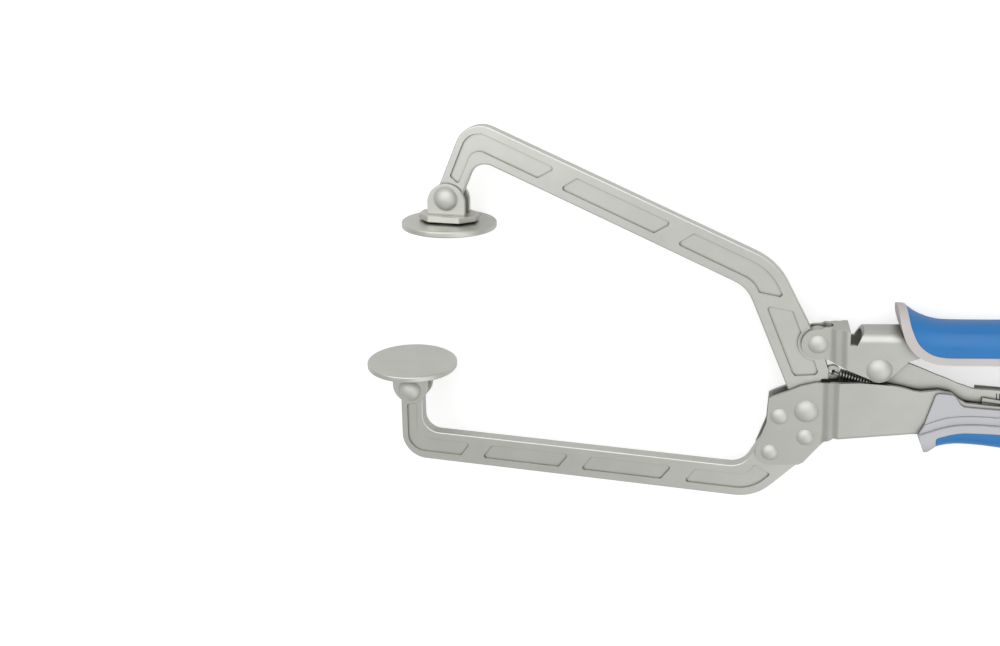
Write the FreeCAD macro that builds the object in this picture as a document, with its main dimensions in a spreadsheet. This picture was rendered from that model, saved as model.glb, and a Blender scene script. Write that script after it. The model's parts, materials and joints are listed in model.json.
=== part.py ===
"""Long-reach locking face clamp.

Two deep-throated jaw arms carry round swivel pads. One arm is riveted between the
cheeks of a folded steel handle, the other turns on the jaw rivet and is driven by
the upper handle through an over-centre link.

The clamp lies on its side. The origin is the centre of the fixed pad's face, +X runs
toward the handles, +Y from the fixed pad to the moving pad and +Z along the rivets.
"""
import FreeCAD, Part
import math
import os

import Sketcher
from FreeCAD import Placement, Rotation, Vector

SIZES = (
    # swivel pads
    ("disc_radius", 25.0),
    ("disc_thickness", 3.3),
    ("disc_edge", 0.5),
    ("hub_radius", 8.0),
    ("hub_height", 1.1),
    ("clevis_plate", 3.0),
    ("clevis_length", 30.6),
    ("clevis_width", 21.8),
    ("clevis_chamfer", 6.9),
    ("ear_clearance", 0.1),
    ("ear_thickness", 2.55),
    ("ear_radius", 10.0),
    ("ear_centre", 13.6),
    ("pad_pivot_height", 15.9),
    ("pad_rivet_radius", 3.0),
    ("pad_rivet_head", 6.2),
    ("pad_rivet_dome", 5.2),
    # jaw arms
    ("arm_width", 17.6),
    ("fixed_arm_thickness", 6.8),
    ("swing_arm_thickness", 6.4),
    ("leg_width", 12.8),
    ("leg_length", 43.0),
    ("panel_margin", 4.4),
    ("leg_margin", 3.4),
    ("panel_depth", 1.2),
    ("panel_corner", 1.5),
    ("arm_edge", 0.8),
    ("elbow_outer", 14.0),
    ("elbow_inner", 9.0),
    ("panel_gap", 12.0),
    ("swing_reach", 188.8),
    ("swing_rise", 99.3),
    ("jaw_reach", 211.8),
    ("jaw_drop", 5.2),
    ("tail_radius", 8.8),
    ("tail_gap", 0.4),
    ("boss_radius", 7.3),
    ("lug_radius", 3.5),
    ("lug_thickness", 2.4),
    ("lug_hole", 1.45),
    # folded handles
    ("sheet", 2.0),
    ("neck_half_gap", 3.4),
    ("body_half_gap", 7.0),
    ("lever_bend", 5.8),
    ("handle_reach", 162.2),
    ("lever_reach", 143.4),
    ("handle_pivot_shift", 1.8),
    ("handle_pivot_rise", 36.5),
    ("toggle_shift", 29.4),
    ("toggle_drop", 9.5),
    ("lever_ear_radius", 7.9),
    ("lever_toe_radius", 6.3),
    # rivets and pins
    ("arm_rivet_radius", 2.2),
    ("arm_rivet_head", 4.35),
    ("arm_rivet_dome", 2.5),
    ("jaw_rivet_radius", 3.2),
    ("jaw_rivet_head", 6.0),
    ("jaw_rivet_dome", 3.5),
    ("handle_rivet_radius", 2.8),
    ("handle_rivet_head", 4.7),
    ("handle_rivet_dome", 2.5),
    ("running_fit", 0.06),
    ("handle_play", 1.0),
    ("side_gap", 0.2),
    # toggle link, slider and screw
    ("link_run", 82.0),
    ("link_drop", 12.8),
    ("link_half_width", 5.6),
    ("link_sheet", 1.8),
    ("link_boss", 6.2),
    ("link_pin_radius", 2.5),
    ("slider_half_width", 6.8),
    ("slider_plate", 1.0),
    ("slider_base", 7.7),
    ("slider_front", 12.0),
    ("slider_back", 9.0),
    ("slider_nose", 35.0),
    ("screw_radius", 4.0),
    ("screw_gap", 10.0),
    ("knob_radius", 11.0),
    ("knob_length", 18.0),
    ("knob_edge", 1.5),
    ("rear_plate_thickness", 3.5),
    ("nut_length", 10.0),
    ("nut_setback", 8.0),
    # opening spring
    ("spring_radius", 2.6),
    ("spring_wire", 0.6),
    ("spring_pitch", 3.1),
    ("anchor_shift", 62.2),
    ("anchor_rise", 7.7),
    ("anchor_radius", 1.5),
    # grips
    ("grip_half_width", 12.5),
    ("grip_depth", 20.4),
    ("lip_rise", 6.8),
    ("flare_depth", 6.0),
    ("grip_wall", 3.4),
    ("grip_slope", 0.085),
)

doc = FreeCAD.newDocument("locking_face_clamp")
sheet = doc.addObject("Spreadsheet::Sheet", "Sizes")
for row, (alias, amount) in enumerate(SIZES, start=1):
    sheet.set(f"A{row}", alias)
    sheet.set(f"B{row}", str(amount))
    sheet.setAlias(f"B{row}", alias)
doc.recompute()


class Size:
    """A number together with the way it follows from the sheet."""

    def __init__(self, value, text=None):
        self.value = float(value)
        self.text = f"{self.value:.4f}" if text is None else text
        if text is None and value < 0:
            self.text = f"({self.text})"

    @property
    def follows(self):
        return "Sizes." in self.text

    def join(self, sign, other, value):
        return Size(value, f"({self.text} {sign} {as_size(other).text})")

    def __add__(self, other):
        return self.join("+", other, self.value + as_size(other).value)

    def __radd__(self, other):
        return as_size(other) + self

    def __sub__(self, other):
        return self.join("-", other, self.value - as_size(other).value)

    def __rsub__(self, other):
        return as_size(other) - self

    def __mul__(self, other):
        return self.join("*", other, self.value * as_size(other).value)

    def __rmul__(self, other):
        return as_size(other) * self

    def __truediv__(self, other):
        return self.join("/", other, self.value / as_size(other).value)

    def __neg__(self):
        return Size(-self.value, f"(0 - {self.text})")


def as_size(number):
    return number if isinstance(number, Size) else Size(number)


def of(alias):
    return Size(float(sheet.get(alias)), f"Sizes.{alias}")


def root(number):
    number = as_size(number)
    return Size(math.sqrt(number.value), f"sqrt({number.text})")


def at(centre, dx, dy):
    return (centre[0] + dx, centre[1] + dy)


def polar(centre, radius, angle):
    turn = math.radians(angle)
    return at(centre, radius * round(math.cos(turn), 5), radius * round(math.sin(turn), 5))


def spot(point):
    return Vector(as_size(point[0]).value, as_size(point[1]).value, 0)


class Bend:
    """A round stretch of an outline about a centre, from one point to another."""

    def __init__(self, centre, start, end, clockwise=False):
        self.centre = centre
        self.start = start
        self.end = end
        self.clockwise = clockwise


def turn_about(centre, radius, first, last):
    """Round stretch on a circle between two angles; it runs clockwise if last < first."""
    return Bend(centre, polar(centre, radius, first), polar(centre, radius, last), last < first)


# Sketches and solids

def plane(body, role):
    return next(item for item in body.Origin.OriginFeatures if item.Role == role)


def pin(sketch, geometry, vertex, axis, size):
    """Hold one coordinate of a sketch point."""
    size = as_size(size)
    kind = "DistanceX" if axis == 0 else "DistanceY"
    number = sketch.addConstraint(
        Sketcher.Constraint(kind, -1, 1, geometry, vertex, size.value))
    if size.follows:
        sketch.setExpression(f"Constraints[{number}]", size.text)


def draw_outline(sketch, items):
    """Closed outline of straight lines through the points and the bends given."""
    count = sketch.GeometryCount
    stops = [(item.start, item.end) if isinstance(item, Bend) else (item, item) for item in items]
    ends = []
    for index, item in enumerate(items):
        if isinstance(item, Bend):
            ends.append(draw_bend(sketch, item))
        leaving = stops[index][1]
        coming = stops[(index + 1) % len(items)][0]
        if (spot(leaving) - spot(coming)).Length < 1e-6:
            continue
        line = sketch.addGeometry(Part.LineSegment(spot(leaving), spot(coming)), False)
        ends.append((line, 1, 2))
        if not isinstance(item, Bend):
            pin(sketch, line, 1, 0, leaving[0])
            pin(sketch, line, 1, 1, leaving[1])
    for (first, _, tail), (second, head, _) in zip(ends, ends[1:] + ends[:1]):
        sketch.addConstraint(Sketcher.Constraint("Coincident", first, tail, second, head))
    return count


def draw_bend(sketch, bend):
    centre = spot(bend.centre)
    start, end = (bend.end, bend.start) if bend.clockwise else (bend.start, bend.end)
    arm = spot(start) - centre
    other = spot(end) - centre
    first = math.atan2(arm.y, arm.x)
    last = math.atan2(other.y, other.x)
    if last <= first + 1e-9:
        last += 2 * math.pi
    circle = Part.Circle(centre, Vector(0, 0, 1), arm.Length)
    arc = sketch.addGeometry(Part.ArcOfCircle(circle, first, last), False)
    pin(sketch, arc, 3, 0, bend.centre[0])
    pin(sketch, arc, 3, 1, bend.centre[1])
    pin(sketch, arc, 1, 0, start[0])
    pin(sketch, arc, 1, 1, start[1])
    axis = 0 if abs(other.y) > abs(other.x) else 1
    pin(sketch, arc, 2, axis, end[axis])
    return (arc, 2, 1) if bend.clockwise else (arc, 1, 2)


def draw_circle(sketch, centre, radius):
    radius = as_size(radius)
    circle = sketch.addGeometry(Part.Circle(spot(centre), Vector(0, 0, 1), radius.value), False)
    pin(sketch, circle, 3, 0, centre[0])
    pin(sketch, circle, 3, 1, centre[1])
    number = sketch.addConstraint(Sketcher.Constraint("Radius", circle, radius.value))
    if radius.follows:
        sketch.setExpression(f"Constraints[{number}]", radius.text)


def new_body(label, origin=(0, 0), turn=0):
    body = doc.addObject("PartDesign::Body", label)
    body.Label = label
    body.Placement = Placement(spot(origin), Rotation(Vector(0, 0, 1), turn))
    for letter, size in zip("xy", origin):
        if as_size(size).follows:
            body.setExpression(f"Placement.Base.{letter}", as_size(size).text)
    return body


def sketch_on(body, name, outlines, role="XY_Plane", offset=None, circles=()):
    sketch = body.newObject("Sketcher::SketchObject", name)
    sketch.AttachmentSupport = (plane(body, role), [""])
    sketch.MapMode = "FlatFace"
    if offset is not None:
        offset = as_size(offset)
        sketch.AttachmentOffset = Placement(Vector(0, 0, offset.value), Rotation())
        if offset.follows:
            sketch.setExpression("AttachmentOffset.Base.z", offset.text)
    for items in outlines:
        draw_outline(sketch, items)
    for centre, radius in circles:
        draw_circle(sketch, centre, radius)
    return sketch


def bind(feature, name, size):
    size = as_size(size)
    setattr(feature, name, size.value)
    if size.follows:
        feature.setExpression(name, size.text)


def settle(feature):
    doc.recompute()
    if {"Invalid", "Error"} & set(feature.State):
        raise RuntimeError(f"{feature.Name} failed: {feature.getStatusString()}")
    return feature


def pad(body, sketch, length, both_ways=True, reverse=False):
    feature = body.newObject("PartDesign::Pad", sketch.Name + "_pad")
    feature.Profile = sketch
    bind(feature, "Length", length)
    feature.Midplane = both_ways
    feature.Reversed = reverse
    return settle(feature)


def cut(body, sketch, depth=None):
    """Cut both ways from the sketch, right through unless a whole depth is given."""
    before = body.Shape.Volume
    feature = body.newObject("PartDesign::Pocket", sketch.Name + "_cut")
    feature.Profile = sketch
    feature.Midplane = True
    if depth is None:
        feature.Type = "ThroughAll"
    else:
        bind(feature, "Length", depth)
    settle(feature)
    if not body.Shape.Volume < before - 1e-3:
        raise RuntimeError(f"{feature.Name} removes nothing")
    return feature


def revolve(body, sketch, axis="V_Axis"):
    feature = body.newObject("PartDesign::Revolution", sketch.Name + "_turned")
    feature.Profile = sketch
    feature.ReferenceAxis = (sketch, [axis])
    feature.Angle = 360
    return settle(feature)


def soften(body, name, radius, wanted, chamfer=False):
    """Round (or bevel) every edge of the solid so far that is wanted."""
    base = body.Tip
    names = [f"Edge{number}" for number, edge in enumerate(base.Shape.Edges, start=1)
             if wanted(edge)]
    if not names:
        raise RuntimeError(f"{name} finds no edge")
    kind = "PartDesign::Chamfer" if chamfer else "PartDesign::Fillet"
    feature = body.newObject(kind, name)
    feature.Base = (base, names)
    bind(feature, "Size" if chamfer else "Radius", radius)
    return settle(feature)


def upright_at(points):
    """Edges that stand along Z at any of the points."""
    spots = [spot(point) for point in points]

    def wanted(edge):
        low, high = (vertex.Point for vertex in (edge.Vertexes[0], edge.Vertexes[-1]))
        flat = Vector(low.x, low.y, 0)
        upright = abs(low.x - high.x) < 1e-5 and abs(low.y - high.y) < 1e-5
        return upright and any((flat - place).Length < 1e-3 for place in spots)

    return wanted


def brim(body, half, reach):
    """Edges of the outer wire of the flat faces at z = +half and -half, up to x = reach."""
    half = as_size(half).value
    reach = as_size(reach).value
    codes = set()
    for face in body.Tip.Shape.Faces:
        box = face.BoundBox
        if box.ZLength < 1e-5 and abs(abs(box.ZMin) - half) < 1e-4:
            codes.update(edge.hashCode() for edge in face.OuterWire.Edges
                         if edge.BoundBox.XMax < reach)
    return lambda edge: edge.hashCode() in codes


def along_line(start, end, height):
    """Straight edges on the line between two points, at z = +height or -height."""
    first, last = spot(start), spot(end)
    reach = last - first
    height = as_size(height).value

    def wanted(edge):
        for vertex in edge.Vertexes:
            point = vertex.Point
            flat = Vector(point.x, point.y, 0) - first
            if abs(abs(point.z) - height) > 1e-3 or flat.cross(reach).Length / reach.Length > 1e-3:
                return False
        return len(edge.Vertexes) == 2 and edge.Length > 0.4 * reach.Length

    return wanted


# Pivots and common measures

zero = Size(0)
fixed_pivot = (zero, -of("pad_pivot_height"))
jaw = (of("jaw_reach"), -of("jaw_drop"))
swing_pivot = at(jaw, -of("swing_reach"), of("swing_rise"))
handle = at(jaw, of("handle_pivot_shift"), of("handle_pivot_rise"))
toggle = at(handle, of("toggle_shift"), -of("toggle_drop"))
link_end = at(toggle, of("link_run"), -of("link_drop"))
anchor = at(jaw, of("anchor_shift"), of("anchor_rise"))
lug = at(jaw, 10.6, 21.0)
arm_rivets = (at(jaw, -12.8, -4.3), at(jaw, 0.8, -14.4), at(jaw, -15.8, -25.1))

fixed_half = of("fixed_arm_thickness") / 2
swing_half = of("swing_arm_thickness") / 2
leg_half = of("leg_width") / 2
neck_outer = of("neck_half_gap") + of("sheet")
body_outer = of("body_half_gap") + of("sheet")
fit = of("running_fit")


# Jaw arms: a web with a raised rim all round and ribs between the panels

def arm_body(label, outline, holes, panels, thickness, corners, panel_corners, reach):
    body = new_body(label)
    pad(body, sketch_on(body, label + "_web", [outline], circles=holes),
        thickness - 2 * of("panel_depth"))
    rim = sketch_on(body, label + "_rim", [outline] + panels, circles=holes)
    pad(body, rim, thickness)
    for name, radius, points in corners:
        soften(body, label + "_" + name, radius, upright_at(points))
    for name, radius, points in panel_corners:
        soften(body, label + "_" + name, radius, upright_at(points))
    soften(body, label + "_edges", of("arm_edge"), brim(body, thickness / 2, reach))
    return body


def fixed_arm():
    low = fixed_pivot[1] - of("leg_length")
    high = low + of("arm_width")
    heel = (of("jaw_reach") - 20.9, low)
    crook = (heel[0] - 8.0, high)
    toe = at(jaw, -0.8, -30.5)
    outline = [
        turn_about(fixed_pivot, leg_half, 0, 180),
        (-leg_half, low),
        heel,
        toe,
        at(jaw, 9.4, -14.8),
        at(jaw, 9.4, -8.8),
        turn_about(jaw, of("tail_radius") + of("tail_gap"), -40, -188),
        at(jaw, -18.3, 2.6),
        at(jaw, -18.6, -14.8),
        crook,
        (leg_half, high),
    ]
    margin = of("panel_margin")
    floor = low + margin
    roof = high - margin
    side = leg_half - of("leg_margin")
    slant = 6.0
    post = fixed_pivot[1]
    first = [(-side, post - 10), (-side, floor), (zero + 28.5, floor),
             (zero + 28.5 + slant, roof), (side, roof), (side, post - 8)]
    panels = [first]
    gap = of("panel_gap")
    stop = heel[0] - 37.9
    length = (stop - 28.5 - 3 * gap) / 2
    for start in (28.5 + gap, 28.5 + 2 * gap + length):
        panels.append([(start, floor), (start + length, floor),
                       (start + length + slant, roof), (start + slant, roof)])
    bottom = at(heel, -2.0, margin)
    inside = at(crook, 2.76, -margin)
    last = [(stop, floor), bottom, at(heel, 7.1, 14.9),
            at(crook, 6.1, 2.3), inside, (stop + slant, roof)]
    panels.append(last)
    holes = [(fixed_pivot, of("pad_rivet_radius") + fit)]
    holes += [(place, of("arm_rivet_radius")) for place in arm_rivets]
    small = first[:1] + first[2:4] + first[5:] + panels[1] + panels[2]
    small += [last[0], last[2], last[3], last[5]]
    return arm_body(
        "fixed_jaw_arm", outline, holes, panels, of("fixed_arm_thickness"),
        (("outer_elbow", of("elbow_outer"), [(-leg_half, low)]),
         ("inner_elbow", of("elbow_inner"), [(leg_half, high)]),
         ("heel", Size(24), [heel]),
         ("crook", Size(11), [crook])),
        (("panel_elbow", of("elbow_outer") - margin, [first[1]]),
         ("panel_crease", Size(6), [first[4]]),
         ("panel_heel", Size(19), [bottom]),
         ("panel_crook", Size(8), [inside]),
         ("panel_ends", of("panel_corner"), small)), jaw[0] - 0.5)


def swing_arm():
    high = of("leg_length")
    low = high - of("arm_width")
    heel = at(jaw, -20.9, 76.1)
    span = (heel[0] - swing_pivot[0], heel[1] - swing_pivot[1])
    square = span[0] * span[0] + span[1] * span[1]
    run = root(square - high * high)
    slope_x = (span[0] * run + span[1] * high) / square
    slope_y = (span[0] * high - span[1] * run) / square

    def along(distance, rise):
        distance, rise = as_size(distance), as_size(rise)
        return at(swing_pivot, distance * slope_x + rise * slope_y,
                  rise * slope_x - distance * slope_y)

    share = of("arm_width") / 17.6
    crook = at(heel, -13.7 * share, -13.6 * share)
    waist = polar(jaw, of("tail_radius"), 147.6)
    outline = [
        Bend(swing_pivot, along(-leg_half, 0), along(leg_half, 0)),
        along(leg_half, low),
        crook,
        Bend(jaw, waist, polar(jaw, of("tail_radius"), 55)),
        at(jaw, 5.2, 15.2),
        at(jaw, 5.9, 17.2),
        turn_about(lug, of("lug_radius"), -100, 135),
        at(jaw, 6.5, 27.7),
        turn_about(handle, of("boss_radius"), -10, 119),
        heel,
        along(-leg_half, high),
    ]
    margin = of("panel_margin")
    floor = low + margin
    roof = high - margin
    side = leg_half - of("leg_margin")
    first = [along(side, 9), along(side, floor), along(39.2, floor), along(45.9, roof),
             along(-side, roof), along(-side, 11)]
    start = run - 48.3
    gap = of("panel_gap")
    second = [along(39.2 + gap, floor), along(start - gap, floor),
              along(start - gap + 6.0, roof), along(45.2 + gap, roof)]
    bottom = at(crook, 3.26, 3.41)
    top = at(heel, -3.1, -3.5)
    third = [along(start, floor), bottom, at(crook, 5.95, -2.3),
             at(heel, 2.6, -17.4), at(heel, 3.8, -16.0), top, along(start + 5.4, roof)]
    scallop = of("boss_radius") + 2.2
    fourth = [
        at(jaw, -24.8, 54.0),
        at(jaw, -8.8, 19.2),
        at(jaw, -7.3, 17.7),
        at(jaw, 2.7, 19.2),
        at(jaw, 3.5, 21.2),
        turn_about(handle, scallop, -94, -209.5),
        at(jaw, -11.4, 52.1),
    ]
    holes = [
        (swing_pivot, of("pad_rivet_radius") + fit),
        (jaw, of("jaw_rivet_radius") + fit),
        (handle, of("handle_rivet_radius") + of("handle_play")),
        (lug, of("lug_hole")),
    ]
    small = [first[0], first[2], first[3], first[5]] + second
    small += [third[0], third[2], third[6], fourth[0], fourth[3], fourth[6]]
    body = arm_body(
        "swing_jaw_arm", outline, holes, [first, second, third, fourth],
        of("swing_arm_thickness"),
        (("outer_elbow", of("elbow_outer"), [along(-leg_half, high)]),
         ("inner_elbow", of("elbow_inner"), [along(leg_half, low)]),
         ("heel", Size(34), [heel]),
         ("crook", Size(18), [crook])),
        (("panel_elbow", of("elbow_outer") - margin, [first[4]]),
         ("panel_crease", Size(6), [first[1]]),
         ("panel_heel", Size(28), [top]),
         ("panel_crook", Size(13), [bottom]),
         ("panel_ends", of("panel_corner"), small)), jaw[0] + 20)
    for side_name, turn in (("near", 1), ("far", -1)):
        step = sketch_on(
            body, "lug_step_" + side_name,
            [[at(lug, -1.6, -6), at(lug, 6, -6), at(lug, 6, 6), at(lug, -2.9, 6)]],
            offset=turn * (of("lug_thickness") / 2 + swing_half) / 2)
        cut(body, step, swing_half - of("lug_thickness") / 2)
    return body


# Swivel pads: round disc, bent clevis and the rivet that holds both to the arm

def pad_set(prefix, pivot, turn, arm_half):
    face = of("pad_pivot_height")
    back = face - of("disc_thickness")
    seat = back - of("hub_height")
    fold = seat - of("clevis_plate")
    inner = arm_half + of("ear_clearance")
    outer = inner + of("ear_thickness")

    disc = new_body(prefix + "_disc", pivot, turn)
    profile = sketch_on(disc, prefix + "_disc_profile", [[
        (zero, back), (of("disc_radius"), back), (of("disc_radius"), face), (zero, face)]])
    revolve(disc, profile)
    soften(disc, prefix + "_disc_rim", of("disc_edge"),
           lambda edge: isinstance(edge.Curve, Part.Circle), chamfer=True)

    clevis = new_body(prefix + "_clevis", pivot, turn)
    length = of("clevis_length") / 2
    width = of("clevis_width") / 2
    snip = of("clevis_chamfer")
    plate = sketch_on(clevis, prefix + "_plate", [[
        (-length, snip - width), (snip - length, -width), (length - snip, -width),
        (length, snip - width), (length, width - snip), (length - snip, width),
        (snip - length, width), (-length, width - snip)]], role="XZ_Plane", offset=-fold)
    pad(clevis, plate, of("clevis_plate"), both_ways=False, reverse=True)
    hub = sketch_on(clevis, prefix + "_hub", [], role="XZ_Plane", offset=-seat,
                    circles=[((zero, zero), of("hub_radius"))])
    pad(clevis, hub, of("hub_height"), both_ways=False, reverse=True)
    radius = of("ear_radius")
    crown = (zero, face - of("ear_centre"))
    ears = sketch_on(clevis, prefix + "_ears", [[
        (-radius, fold), turn_about(crown, radius, -180, 0), (radius, fold)]],
        circles=[((zero, zero), of("pad_rivet_radius") + fit)])
    pad(clevis, ears, 2 * outer)
    slot = sketch_on(clevis, prefix + "_slot", [[
        (-radius - 1, crown[1] - radius - 1), (radius + 1, crown[1] - radius - 1),
        (radius + 1, fold), (-radius - 1, fold)]])
    cut(clevis, slot, 2 * inner)

    rivet(prefix + "_rivet", pivot, of("pad_rivet_radius"), outer,
          of("pad_rivet_head"), of("pad_rivet_dome"))


def rivet(label, pivot, radius, half, head, dome):
    """Rivet along Z with a domed head at each end of its grip."""
    body = new_body(label, pivot)
    ball = (head * head + dome * dome) / (2 * dome)
    centre = half + dome - ball
    profile = sketch_on(body, label + "_profile", [[
        (zero, -(half + dome)),
        Bend((zero, -centre), (zero, -(half + dome)), (head, -half)),
        (radius, -half),
        (radius, half),
        Bend((zero, centre), (head, half), (zero, half + dome)),
    ]], role="XZ_Plane")
    revolve(body, profile)
    return body


# Folded channels: two cheeks stepped outward behind the neck, joined by a web

def cheeks(body, label, silhouette, webs, step, rear):
    """Cheeks cut to the silhouette; webs are (outline, whole width) strips."""
    neck = of("neck_half_gap")
    wide = of("body_half_gap")
    gauge = of("sheet")
    for number, (outline, width) in enumerate(webs):
        pad(body, sketch_on(body, f"{label}_web{number}", [outline]), width)
    front = jaw[0] - 40
    shoulder = step + 6
    for side, sign in (("near", 1), ("far", -1)):
        band = [(front, neck), (step, neck), (shoulder, wide), (rear, wide),
                (rear, wide + gauge), (shoulder, wide + gauge), (step, neck + gauge),
                (front, neck + gauge)]
        band = [(x, sign * z) for x, z in band]
        pad(body, sketch_on(body, f"{label}_{side}_cheek", [band], role="XZ_Plane"), Size(160))
    for side, sign in (("near", 1), ("far", -1)):
        outside = [(front - 1, neck + gauge), (step, neck + gauge), (shoulder, wide + gauge),
                   (shoulder, wide + gauge + 6), (front - 1, wide + gauge + 6)]
        outside = [(x, sign * z) for x, z in outside]
        notch = sketch_on(body, f"{label}_{side}_step", [outside], role="XZ_Plane")
        if any(as_size(width).value > 2 * neck.value for _, width in webs[1:]):
            cut(body, notch)
        else:
            body.removeObject(notch)
            doc.removeObject(notch.Name)
    frame = [(front - 30, Size(-110)), (rear + 30, Size(-110)),
             (rear + 30, Size(110)), (front - 30, Size(110))]
    cut(body, sketch_on(body, label + "_waste", [frame, silhouette]))


def fixed_handle():
    label = "fixed_handle"
    body = new_body(label)
    rear = jaw[0] + of("handle_reach")
    gauge = of("sheet")
    keel = at(jaw, 14.2, -12.0)
    bilge = at(jaw, 50.2, -5.65)
    stern = (rear, jaw[1] - 4.3)
    silhouette = [
        at(jaw, -18.3, 5.2),
        at(jaw, -18.8, 4.7),
        at(jaw, -18.8, -9.3),
        turn_about(arm_rivets[2], Size(7.2), 160, 285),
        at(jaw, -11.8, -31.8),
        at(jaw, -1.0, -30.4),
        at(jaw, 1.2, -28.8),
        at(jaw, 10.2, -14.8),
        keel,
        bilge,
        at(jaw, 63.2, -4.3),
        stern,
        (rear, jaw[1] + 13.2),
        at(jaw, 72.2, 13.9),
        at(jaw, 68.7, 15.8),
        at(jaw, 65.2, 18.5),
        at(jaw, 59.2, 19.2),
        at(jaw, 51.2, 17.6),
        at(jaw, 48.2, 17.8),
        at(jaw, 43.2, 18.9),
        at(jaw, 38.2, 19.55),
        at(jaw, 31.2, 19.55),
        at(jaw, 23.2, 19.4),
        at(jaw, 13.2, 18.1),
        at(jaw, 8.2, 16.5),
        at(jaw, 3.2, 15.9),
        at(jaw, -3.8, 13.4),
        at(jaw, -8.8, 10.5),
        at(jaw, -15.8, 6.8),
    ]
    web = [keel, bilge, at(jaw, 63.2, -4.3), stern, at(stern, 0, gauge),
           at(jaw, 63.0, -4.3 + gauge), at(bilge, -0.3, gauge), at(keel, 0, gauge)]
    cheeks(body, label, silhouette, [(web, 2 * body_outer)], jaw[0] + 8.2, rear)
    holes = [(place, of("arm_rivet_radius")) for place in arm_rivets]
    holes += [(jaw, of("jaw_rivet_radius")), (anchor, of("anchor_radius"))]
    cut(body, sketch_on(body, label + "_holes", [], circles=holes))
    knee = at(jaw, 63.2, -4.3)
    lines = [along_line(*ends, body_outer)
             for ends in ((keel, bilge), (bilge, knee), (knee, stern))]
    soften(body, label + "_bends", of("sheet") * 0.95,
           lambda edge: any(line(edge) for line in lines))
    return body


def lever_channel():
    label = "lever_channel"
    body = new_body(label)
    rear = handle[0] + of("lever_reach")
    gauge = of("sheet")
    slope = of("grip_slope")
    crest = at(handle, 20.7, 9.2)
    stern = (rear, crest[1] + slope * (rear - crest[0]))
    brow = at(handle, 14.1, 9.0)
    edge = at(crest, -5.3, slope * -5.3)
    toe = of("lever_toe_radius")
    silhouette = [
        turn_about(handle, of("lever_ear_radius"), 109.4, 297.7),
        turn_about(toggle, toe, 236, 320),
        at(toggle, 12.5, 5.7),
        at(toggle, 19.0, 8.7),
        (rear, stern[1] - 13),
        stern,
        edge,
        (edge[0], handle[1] + 2.2),
        at(handle, 14.5, 2.2),
        brow,
        at(handle, 2.9, 9.0),
        at(handle, 0.9, 7.95),
    ]
    web = [at(edge, 0, -gauge), (rear, stern[1] - gauge), stern, edge]
    front = [at(handle, 3.4, 9.0 - gauge), at(brow, 0, -gauge), brow, at(handle, 3.4, 9.0)]
    width = 2 * body_outer
    cheeks(body, label, silhouette, [(web, width), (front, width)], handle[0] + 5.9, rear)
    notch = sketch_on(body, label + "_mouth", [], role="XZ_Plane",
                      circles=[((handle[0] + 3.4, zero), of("neck_half_gap") - 0.1)])
    cut(body, notch)
    holes = [(handle, of("handle_rivet_radius")), (toggle, of("jaw_rivet_radius"))]
    cut(body, sketch_on(body, label + "_holes", [], circles=holes))
    soften(body, label + "_folds", of("lever_bend") - gauge,
           along_line(at(edge, 0, -gauge), (rear, stern[1] - gauge), of("body_half_gap")))
    soften(body, label + "_bends", of("lever_bend"), along_line(edge, stern, body_outer))
    gap = [at(handle, 14.5, 2.2), at(handle, 17.7, 2.2), crest, at(crest, 0.4, 1.0),
           at(handle, 14.5, 12)]
    cut(body, sketch_on(body, label + "_gap", [gap]))
    return body


# Grips: a blue cover over a grey shell, both carried on the channels

def grip_loft(body, label, stations):
    """Loft through U-shaped sections (x, open side, crown, half width)."""
    sections = []
    for number, (x, flat, crown, half) in enumerate(stations):
        upward = as_size(crown).value > as_size(flat).value
        middle = crown - half if upward else crown + half
        if upward:
            items = [(flat, -half), Bend((middle, zero), (middle, -half), (middle, half)),
                     (flat, half)]
        else:
            items = [(flat, half), Bend((middle, zero), (middle, half), (middle, -half)),
                     (flat, -half)]
        sections.append(sketch_on(body, f"{label}_section{number}", [items],
                                  role="YZ_Plane", offset=x))
    loft = body.newObject("PartDesign::AdditiveLoft", label + "_loft")
    loft.Profile = sections[0]
    loft.Sections = sections[1:]
    loft.Ruled = True
    return settle(loft)


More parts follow.
